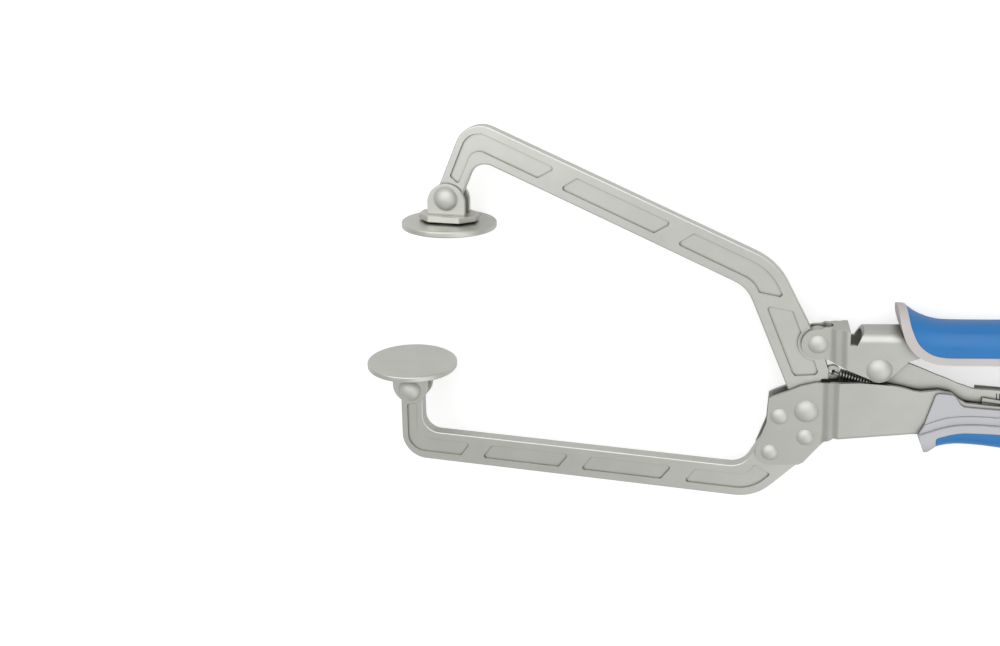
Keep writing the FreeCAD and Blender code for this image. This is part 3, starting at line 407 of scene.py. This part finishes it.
def press_step(piece, middle, lean, level, near, far):
    """Turns the cheeks' straight sideways step into the two soft bends that a press tool leaves.

    middle is the step's centre line along X at the height level, lean how far it runs on per millimetre down;
    near and far are where the straight step starts and ends. The cheeks' inner faces go from 3.4 to 7 mm off
    the clamp's middle plane. Behind the step the frame's lower edge is let down a little.
    """
    width, inner, rise = 8.0, 3.4, 3.6
    bend, second_bend = 0.42, 0.58
    drop, drop_below, drop_from, drop_run = 1.1, -12, 216, 10
    alone(piece)
    bpy.ops.object.mode_set(mode="EDIT")
    for cut in (-0.5, -0.4, -0.3, -0.2, -0.1, 0.1, 0.2, 0.3, 0.4, 0.5):
        bpy.ops.mesh.select_all(action="SELECT")
        bpy.ops.mesh.bisect(plane_co=((middle + cut * width) * MM, level * MM, 0),
            plane_no=Vector((1, lean, 0)).normalized())
    for vertex in bmesh.from_edit_mesh(piece.data).verts:
        x, y, z = vertex.co / MM
        straight = min(max((x - near) / (far - near), 0), 1)
        t = min(max((x - middle - lean * (level - y)) / width + 0.5, 0), 1)
        bends = [min(max(u, 0), 1) for u in (t / bend, (t - second_bend) / bend)]
        was, now = inner + rise * straight, inner + rise * sum(u * u * (3 - 2 * u) for u in bends) / 2
        deep = abs(z)
        deep = now + deep - was if deep > was else deep * now / was
        vertex.co.z = math.copysign(deep, z) * MM
        if y < drop_below:
            vertex.co.y -= drop * min(max((x - drop_from) / drop_run, 0), 1) * MM
    bmesh.update_edit_mesh(piece.data)
    bpy.ops.object.mode_set(mode="OBJECT")


# The top edge of the link's front leg from the lever to the slider, and the corner that the slider loses
LINK_TOP = (
    (249.4, 28.1), (256.5, 25.5), (262.9, 23.3), (268.9, 21.1), (274.8, 19.2), (279.4, 17.4),
    (282.7, 16.5), (285.4, 15.7), (288.1, 15.3), (294, 15.5), (303.4, 15.7), (318, 16.2))
SLIDER_END = ((280, 20), (280, 0), (291.9, 0), (291.2, 11.6), (296, 11.2), (306, 10.6), (306, 20))
# The channels' steps: middle, lean, level, near and far
STEPS = (
    ("fixed_handle", 221.8, 0.09, 12, 220.0, 226.0), ("lever_channel", 222.5, 0.1, 40, 219.5, 225.5))


class CLAMP_OT_folded_steel(bpy.types.Operator):
    """Eases and plates both channels, the link, the nut and the rear plate, and plates the ribbed slider"""
    bl_idname = "clamp.folded_steel"
    bl_label = "Folded steel"

    def execute(self, context):
        edge = context.scene.clamp_sizes.sheet_edge
        for node in ("rear_plate", "tension_nut"):
            dress(node, SHEET, edge)

        # the link's front leg stands clear of the frame, and its back leg and web are cut down behind it
        link = copy_of("toggle_link", "toggle_link_dressed")
        top = through(LINK_TOP, 3)
        carve(link, slab("leg_top", top + [(318, 60), (249.4, 60)], 2.1, 9))
        behind = [(x, y - 4.2) for x, y in top if x > 256] + [(318, 60), (256.2, 60)]
        carve(link, slab("web_and_leg", behind, -9, 2.1))
        clean(link)
        ease(link, edge)
        smooth(link)
        hand_over(link, SHEET, "toggle", "toggle_link")

        slider = copy_of("slider_block", "slider_ribbed")
        carve(slider, slab("slider_end", SLIDER_END, 5, 9))
        for low in (7.2, 9.0):
            groove = [(288, low + 1.1), (288, low + 0.5), (312, low - 0.9), (312, low - 0.3)]
            carve(slider, slab("slider_groove", groove, 6.2, 9))
        clean(slider)
        hand_over(slider, SHEET, "slider", "slider_block")
        for node, middle, lean, level, near, far in STEPS:
            piece = copy_of(node, node + "_dressed")
            ease(piece, edge)
            press_step(piece, middle, lean, level, near, far)
            smooth(piece)
            hand_over(piece, SHEET, BODY_OF[node], node)
        return {"FINISHED"}


class CLAMP_OT_arms(bpy.types.Operator):
    """Smooths and plates the two forged arms"""
    bl_idname = "clamp.arms"
    bl_label = "Forged arms"

    def execute(self, context):
        for node in ("fixed_jaw_arm", "swing_jaw_arm"):
            dress(node, FORGING)
        return {"FINISHED"}


RIVETS = (
    "arm_rivet_1", "arm_rivet_2", "arm_rivet_3", "jaw_pivot_rivet", "spring_anchor_pin",
    "handle_pivot_rivet", "link_rivet", "link_end_pin", "fixed_pad_rivet", "swing_pad_rivet",
    "adjusting_screw")
# The share of the solid heads' height that the pressed heads keep
HEAD_SHARE = 0.74


class CLAMP_OT_rivets(bpy.types.Operator):
    """Polishes the rivets, the pins and the adjusting screw"""
    bl_idname = "clamp.rivets"
    bl_label = "Rivets and pins"

    def execute(self, context):
        for node in RIVETS:
            piece = copy_of(node, node + "_dressed")
            if node != "adjusting_screw":
                flatten_heads(piece, HEAD_SHARE)
            smooth(piece)
            hand_over(piece, RIVET, BODY_OF[node], node)
        return {"FINISHED"}


class CLAMP_OT_pads(bpy.types.Operator):
    """Eases and plates the two round swivel pads and their clevises"""
    bl_idname = "clamp.pads"
    bl_label = "Swivel pads"

    def execute(self, context):
        edge = context.scene.clamp_sizes.sheet_edge
        for node in ("fixed_pad_disc", "swing_pad_disc", "fixed_pad_clevis", "swing_pad_clevis"):
            dress(node, FORGING, edge)
        return {"FINISHED"}


def wire_ring(centre, out, across, wire, sides):
    """One ring of points round the wire's middle, in millimetres."""
    angles = [2 * math.pi * k / sides for k in range(sides)]
    return [(centre + (out * math.cos(a) + across * math.sin(a)) * wire) / MM for a in angles]


class CLAMP_OT_spring(bpy.types.Operator):
    """Winds the close-coiled opening spring between the swing arm's lug and the frame's pin"""
    bl_idname = "clamp.spring"
    bl_label = "Opening spring"

    def execute(self, context):
        wire = context.scene.clamp_sizes.spring_wire / 2
        lug, pin, up = Vector((0.2224, 0.0158, 0)), Vector((0.274, 0.0025, 0)), Vector((0, 0, 1))
        along = (pin - lug).normalized()
        side = up.cross(along)
        coil, start, stop = 2.3 * MM, 3.6 * MM, (pin - lug).length - 6.5 * MM
        turns = int((stop - start) / (2.6 * wire))
        rings = []
        for step in range(turns * 14 + 1):
            t = step / (turns * 14)
            angle = 2 * math.pi * turns * t
            out = side * math.cos(angle) + up * math.sin(angle)
            centre = lug + along * (start + (stop - start) * t) + out * coil
            rings.append(wire_ring(centre, out, along, wire, 6))
        parts = [drawn_out("opening_spring_coil", rings)]
        # the hook stands upright in the lug's hole, and the eye lies flat round the pin
        for name, centre, reach, first, turned, across in (
                ("hook", lug + along * coil, coil, -1, up, side),
                ("eye", pin - along * 2.4 * MM, 3.1 * MM, 1, side, up)):
            rings = []
            for step in range(15):
                angle = math.radians(-100 + 200 * step / 14)
                out = along * math.cos(angle) * first + turned * math.sin(angle)
                rings.append(wire_ring(centre + out * reach, out, across, wire, 8))
            parts.append(drawn_out("opening_spring_" + name, rings))
        spring = joined(parts, "opening_spring_wound")
        smooth(spring, 70)
        spring.data.materials.append(finish(WIRE))
        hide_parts("opening_spring")
        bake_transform(spring)
        return {"FINISHED"}


class CLAMP_OT_link_marks(bpy.types.Operator):
    """Stamps the graduation lines into the link"""
    bl_idname = "clamp.link_marks"
    bl_label = "Link marks"

    def execute(self, context):
        marks = []
        for number in range(6):
            x, y = 297.2 + 1.3 * number, 10.3
            corners = [(x + 0.5, y), (x + 0.85, y), (x + 0.35, y + 3.8), (x, y + 3.8)]
            marks.append(slab("mark", corners, 5.5, 5.7))
        hand_over(joined(marks, "link_graduations"), INK, "toggle")
        return {"FINISHED"}


# Along the knob: place, radius and how deep its flutes are
KNOB = (
    (381.5, 6.5, 0), (382.2, 7.5, 0), (384.3, 9.8, 0), (385.3, 10.8, 0.2), (386.2, 11, 0.85),
    (387, 11, 1.0), (396.6, 11, 1.0), (397.4, 11, 0.85), (398.4, 10.8, 0.3), (399.1, 10.2, 0),
    (399.5, 9.2, 0), (399.5, 7.4, 0), (399.1, 7.0, 0))
FLUTES = 18


class CLAMP_OT_knob(bpy.types.Operator):
    """Moulds the adjusting screw's fluted knob"""
    bl_idname = "clamp.knob"
    bl_label = "Screw knob"

    def execute(self, context):
        rings = []
        for x, radius, flute in KNOB:
            rings.append([])
            for step in range(144):
                angle = 2 * math.pi * step / 144
                out = radius - flute * (0.5 + 0.5 * math.cos(FLUTES * angle)) ** 2
                rings[-1].append((x, out * math.cos(angle), out * math.sin(angle)))
        knob = drawn_out("screw_knob_fluted", rings)
        smooth(knob, 40)
        hand_over(knob, GREY, "screw", "screw_knob")
        return {"FINISHED"}


def arch(x, crown, half, height, foot, squareness=2.3, around=20):
    """One closed section of a grip: an arch from side to side over its foot, crown up or down."""
    turn = 1 if crown > foot else -1
    ring = [(x, foot, -half)]
    for step in range(around + 1):
        angle = math.pi * (step / around - 0.5)
        side, rise = math.sin(angle), math.cos(angle)
        y = crown - turn * height * (1 - abs(rise) ** (2 / squareness))
        ring.append((x, y, half * math.copysign(abs(side) ** (2 / squareness), side)))
    return ring + [(x, foot, half)]


def moulding(name, stations, foot, grow=0.0):
    """A grip's full outer form through arches; stations hold (x, crown, half width, arch height)."""
    turn = 1 if stations[0][1] > foot else -1
    rings = [arch(x, crown + turn * grow, half + grow, height, foot)
             for x, crown, half, height in through(stations, 4)]
    return drawn_out(name, rings)


def moulded(piece, look, body, width, segments, *nodes):
    """Cleans, rounds and smooths a moulded piece, and hands it over."""
    clean(piece)
    ease(piece, width * MM, segments)
    smooth(piece, 35)
    hand_over(piece, look, body, *nodes)


# Half the room for the sheet channel, and how far a cut reaches to each side, in millimetres
CHANNEL, REACH = 9.05, 30
# The lever's grip: crown line, and the side outlines of its lip and of its blue panel
LEVER_GRIP = (
    (243, 53.2, 13.2, 12.5), (247, 53.0, 13.2, 12.5), (251.8, 52.9, 13.1, 12.5), (256.2, 50.3, 12.9, 12.3),
    (260.2, 48.5, 12.6, 12), (265, 47.2, 12.5, 12), (270, 46.8, 12.5, 12), (280, 47.4, 12.5, 12),
    (294, 48.5, 12.6, 12), (312, 50.2, 12.8, 12), (330, 51.9, 12.9, 12), (348, 52.9, 12.7, 12),
    (358, 52.9, 12.2, 12), (363, 51.8, 11.3, 11), (365.6, 49.5, 9.8, 10), (366.4, 47.0, 8.5, 9))
LEVER_LIP = (
    (248.0, 56), (248.1, 53.5), (248.5, 50.8), (249.2, 47.5), (250.5, 43.5), (252.4, 39), (255.3, 35.1),
    (258.4, 32.3), (262.2, 30.3), (266.5, 29.1), (271.3, 28.9), (277.7, 29.3), (286.3, 30.1),
    (294.6, 30.8), (320, 32.7), (345, 34.6), (362, 35.9), (370, 36.5))
LEVER_BLUE = (
    (252.0, 56), (252.1, 53.5), (252.6, 50.8), (253.5, 47.5), (255.0, 43.8), (257.4, 39.4), (260.3, 36.2),
    (264.1, 33.8), (268.2, 32.7), (273.1, 32.6), (280, 33.2), (294, 34.5), (320, 36.5), (345, 38.4),
    (354, 39.6), (358.5, 42.5), (360, 47), (360.2, 56))


class CLAMP_OT_upper_grip(bpy.types.Operator):
    """Moulds the lever's grip with its squared lip and bead, and the blue panel they frame"""
    bl_idname = "clamp.upper_grip"
    bl_label = "Upper grip"

    def execute(self, context):
        whole = through(LEVER_LIP, 4) + [(370, 80), (248.0, 80)]
        panel = through(LEVER_BLUE, 4) + [(360.2, 80), (252.0, 80)]
        well = [(230, 10), (357.0, 10), (357.0, 47.6), (230, 40.4)]
        grey = moulding("upper_grip_frame", LEVER_GRIP, 22, 0.45)
        carve(grey, slab("outline", whole, -REACH, REACH), "INTERSECT")
        carve(grey, slab("panel", panel, -REACH, REACH))
        carve(grey, slab("channel", well, -CHANNEL, CHANNEL))
        moulded(grey, LIP, "lever", 0.6, 3, "lever_grip")
        blue = moulding("upper_grip_panel", LEVER_GRIP, 22)
        carve(blue, slab("panel", panel, -REACH, REACH), "INTERSECT")
        carve(blue, slab("channel", well, -CHANNEL, CHANNEL))
        moulded(blue, BLUE, "lever", 0.3, 2, "lever_grip_cover")
        return {"FINISHED"}


# The frame's grip: keel line, and the side outlines of its parts
FRAME_GRIP = (
    (260, -21.9, 12.6, 10), (267, -21.6, 12.6, 10), (270.2, -21.3, 12.6, 10), (271.8, -20.0, 12.6, 10),
    (274, -17.9, 12.6, 10), (278, -16.2, 12.6, 10), (283, -15.1, 12.6, 10), (289, -14.7, 12.6, 10),
    (297, -14.7, 12.6, 10), (312, -15.4, 12.8, 10), (330, -16.4, 12.9, 10), (350, -15.8, 12.8, 10),
    (368, -14.6, 12.3, 10), (374.5, -13.4, 11.3, 9), (377.3, -11.5, 9.9, 8), (378.2, -9.5, 8.8, 7))
FRONT_TIP = ((264.9, -9.2), (265.7, -12.4), (267.1, -16.0), (268.6, -19.4), (269.4, -21.2), (269.8, -26))
LINE_1 = (
    (266.9, -3.9), (271.2, -1.6), (275.7, 0.6), (282.1, 2.2), (288, 3.0), (299.4, 3.5), (320, 3.9),
    (350, 4.2), (379, 4.4))
LINE_2 = (
    (264.9, -9.2), (269.4, -7.0), (273.9, -4.7), (279.6, -2.5), (285.4, -1.3), (291.3, -0.7), (300, -0.4),
    (320, 0.1), (350, 0.6), (379, 1.0))
TOP_LINE = (
    (269.9, 11.9), (270.9, 12.6), (272.0, 12.8), (277.1, 12.7), (279.0, 11.6), (281, 8.8), (283, 7.3),
    (285.5, 7.0), (299, 7.1), (330, 7.6), (379, 8.2))
INSERT = (
    (275.2, -25), (274.4, -18.2), (273.0, -13.0), (272.6, -10.6), (273.4, -9.3), (275.8, -8.2),
    (279, -6.8), (283.6, -5.5), (288.9, -4.9), (300.4, -4.2), (320, -3.7), (350, -3.3), (362, -4.0),
    (366.5, -7), (367.5, -12), (367.6, -25))


class CLAMP_OT_lower_grip(bpy.types.Operator):
    """Moulds the frame's grip: side panel, band, flared body and the blue insert along its keel"""
    bl_idname = "clamp.lower_grip"
    bl_label = "Lower grip"

    def execute(self, context):
        line_1, line_2, insert = through(LINE_1, 4), through(LINE_2, 4), through(INSERT, 4)
        well = [(250, -7.5), (263.2, -9.3), (275, -9.6), (374, -9.6), (374, 40), (250, 40)]
        gap = 0.05
        side = through(TOP_LINE, 4) + [(x, y + gap) for x, y in line_1[::-1]]
        band = [(x, y - gap) for x, y in line_1] + [(x, y + gap) for x, y in line_2[::-1]]
        body = [(x, y - gap) for x, y in line_2] + [(379, -40), (269.8, -40)] + through(FRONT_TIP, 4)[:0:-1]
        for name, outline, half in (("lower_grip_side", side, 10.3), ("lower_grip_band", band, 11.2)):
            piece = slab(name, outline, -half, half)
            carve(piece, slab("end", [(377.4, -60), (390, -60), (390, 60), (377.4, 60)], -REACH, REACH))
            carve(piece, slab("channel", [(250, -30), (374, -30), (374, 40), (250, 40)], -CHANNEL, CHANNEL))
            moulded(piece, GREY, "frame", 0.45, 3)
        grey = moulding("lower_grip_body", FRAME_GRIP, 12)
        carve(grey, slab("outline", body, -REACH, REACH), "INTERSECT")
        carve(grey, slab("insert", insert, -REACH, REACH))
        carve(grey, slab("channel", well, -CHANNEL, CHANNEL))
        moulded(grey, GREY, "frame", 0.5, 3, "fixed_grip")
        blue = moulding("lower_grip_insert", FRAME_GRIP, 12, -0.15)
        carve(blue, slab("insert", insert, -REACH, REACH), "INTERSECT")
        carve(blue, slab("channel", well, -CHANNEL, CHANNEL))
        moulded(blue, BLUE, "frame", 0.3, 2, "fixed_grip_cover")
        return {"FINISHED"}


def soft_lamp(name, place, towards, size, power):
    """A soft box of that size in metres, which looks from its place towards a point."""
    bpy.ops.object.light_add(type="AREA", location=place)
    lamp = bpy.context.object
    lamp.name = name
    lamp.data.name = name
    lamp.data.shape = "RECTANGLE"
    lamp.data.size, lamp.data.size_y = size
    lamp.data.energy = power
    lamp.rotation_euler = (Vector(towards) - Vector(place)).to_track_quat("-Z", "Y").to_euler()


# The floor's own glow, the share of it that metal sees, and the light of the air
FLOOR_GLOW, SEEN_IN_METAL, AIR = 0.62, 0.35, 0.55


class CLAMP_OT_stage(bpy.types.Operator):
    """Sets the pale floor, the soft lamps and the camera"""
    bl_idname = "clamp.stage"
    bl_label = "Floor, light and camera"

    def execute(self, context):
        camera_data = bpy.data.cameras.new("Camera")
        camera = bpy.data.objects.new("Camera", camera_data)
        context.scene.collection.objects.link(camera)
        right, up = Vector((0.9703, 0, -0.2417)), Vector((-0.0824, 0.9401, -0.3309))
        back = Vector((0.2272, 0.3410, 0.9122))
        turn = Matrix((right, up, back)).transposed().to_4x4()
        camera.matrix_world = Matrix.Translation((0.1696, 0.20524, 0.47825)) @ turn
        camera_data.sensor_width = 36
        camera_data.lens = 35.07
        camera_data.clip_start = 0.01
        context.scene.camera = camera

        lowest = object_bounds()[0][2]
        bpy.ops.object.select_all(action="DESELECT")
        bpy.ops.mesh.primitive_plane_add(size=6, location=(0.19, 0.03, lowest - 0.02 * MM))
        floor = context.object
        floor.name = "floor"
        # the clamp lies on its two pads and the end of its handle, which are not equally deep
        solids = [item for item in context.scene.objects if item.type == "MESH" and item is not floor]
        corners = [item.matrix_world @ vertex.co for item in solids for vertex in item.data.vertices]
        start = min((c.z, c.x) for c in corners)[1]
        slope = min((c.z - lowest) / (c.x - start) for c in corners if c.x > start + 0.1)
        bpy.ops.transform.rotate(value=math.atan(slope), orient_axis="Y", center_override=(start, 0, lowest))
        material = new_material("white studio floor")
        tree = material.node_tree
        seen = add_node(tree, "ShaderNodeLightPath")
        # metal sees the white surroundings too, but dimmer, as the studio falls off beyond the picture
        gloss = add_node(tree, "ShaderNodeMath", {1: SEEN_IN_METAL}, {0: seen.outputs["Is Glossy Ray"]},
            operation="MULTIPLY")
        camera_or_gloss = add_node(tree, "ShaderNodeMath", None,
            {0: seen.outputs["Is Camera Ray"], 1: gloss.outputs["Value"]}, operation="ADD", use_clamp=True)
        any_view = add_node(tree, "ShaderNodeMath", None,
            {0: camera_or_gloss.outputs["Value"], 1: seen.outputs["Is Transmission Ray"]}, operation="ADD",
            use_clamp=True)
        glow_level = add_node(tree, "ShaderNodeMath", {1: FLOOR_GLOW}, {0: any_view.outputs["Value"]},
            operation="MULTIPLY")
        plain = add_node(tree, "ShaderNodeBsdfDiffuse", {"Color": linear("#C4C4C4")})
        glow = add_node(tree, "ShaderNodeEmission", {"Color": (1, 1, 1, 1)},
            {"Strength": glow_level.outputs["Value"]})
        both = add_node(tree, "ShaderNodeAddShader", None,
            {0: plain.outputs["BSDF"], 1: glow.outputs["Emission"]})
        add_node(tree, "ShaderNodeOutputMaterial", None, {"Surface": both.outputs["Shader"]})
        floor.data.materials.append(material)
        floor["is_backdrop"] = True

        world = bpy.data.worlds.new("studio")
        context.scene.world = world
        world.use_nodes = True
        world.node_tree.nodes.clear()
        air = add_node(world.node_tree, "ShaderNodeBackground", {"Color": (1, 1, 1, 1), "Strength": AIR})
        add_node(world.node_tree, "ShaderNodeOutputWorld", None, {"Surface": air.outputs["Background"]})

        middle = (0.19, 0.03, 0)
        soft_lamp("key", (0.0, 0.66, 1.0), middle, (2.2, 1.5), 12)
        soft_lamp("fill", (0.9, -0.5, 0.8), middle, (1.2, 1.2), 3)
        context.scene.view_settings.view_transform = "Standard"
        return {"FINISHED"}


PIECES = (
    CLAMP_OT_folded_steel, CLAMP_OT_arms, CLAMP_OT_rivets, CLAMP_OT_pads, CLAMP_OT_spring,
    CLAMP_OT_link_marks, CLAMP_OT_knob, CLAMP_OT_upper_grip, CLAMP_OT_lower_grip, CLAMP_OT_stage)


class CLAMP_PT_panel(bpy.types.Panel):
    """The clamp's sizes, colours and pieces"""
    bl_idname = "CLAMP_PT_panel"
    bl_label = "Locking face clamp"
    bl_space_type = "VIEW_3D"
    bl_region_type = "UI"
    bl_category = "Clamp"

    def draw(self, context):
        for group in (context.scene.clamp_sizes, context.scene.clamp_colours):
            for name in group.bl_rna.properties.keys():
                if name not in ("rna_type", "name"):
                    self.layout.prop(group, name)
        for piece in PIECES:
            self.layout.operator(piece.bl_idname)


CLASSES = (ClampSizes, ClampColours) + PIECES + (CLAMP_PT_panel,)


def register():
    for kind in CLASSES:
        bpy.utils.register_class(kind)
    bpy.types.Scene.clamp_sizes = bpy.props.PointerProperty(type=ClampSizes)
    bpy.types.Scene.clamp_colours = bpy.props.PointerProperty(type=ClampColours)


def unregister():
    del bpy.types.Scene.clamp_colours
    del bpy.types.Scene.clamp_sizes
    for kind in reversed(CLASSES):
        bpy.utils.unregister_class(kind)


def main():
    register()
    for piece in PIECES:
        group, name = piece.bl_idname.split(".")
        if getattr(getattr(bpy.ops, group), name)() != {"FINISHED"}:
            raise RuntimeError(f"{piece.bl_label} didn't finish")


if __name__ == "__main__":
    main()
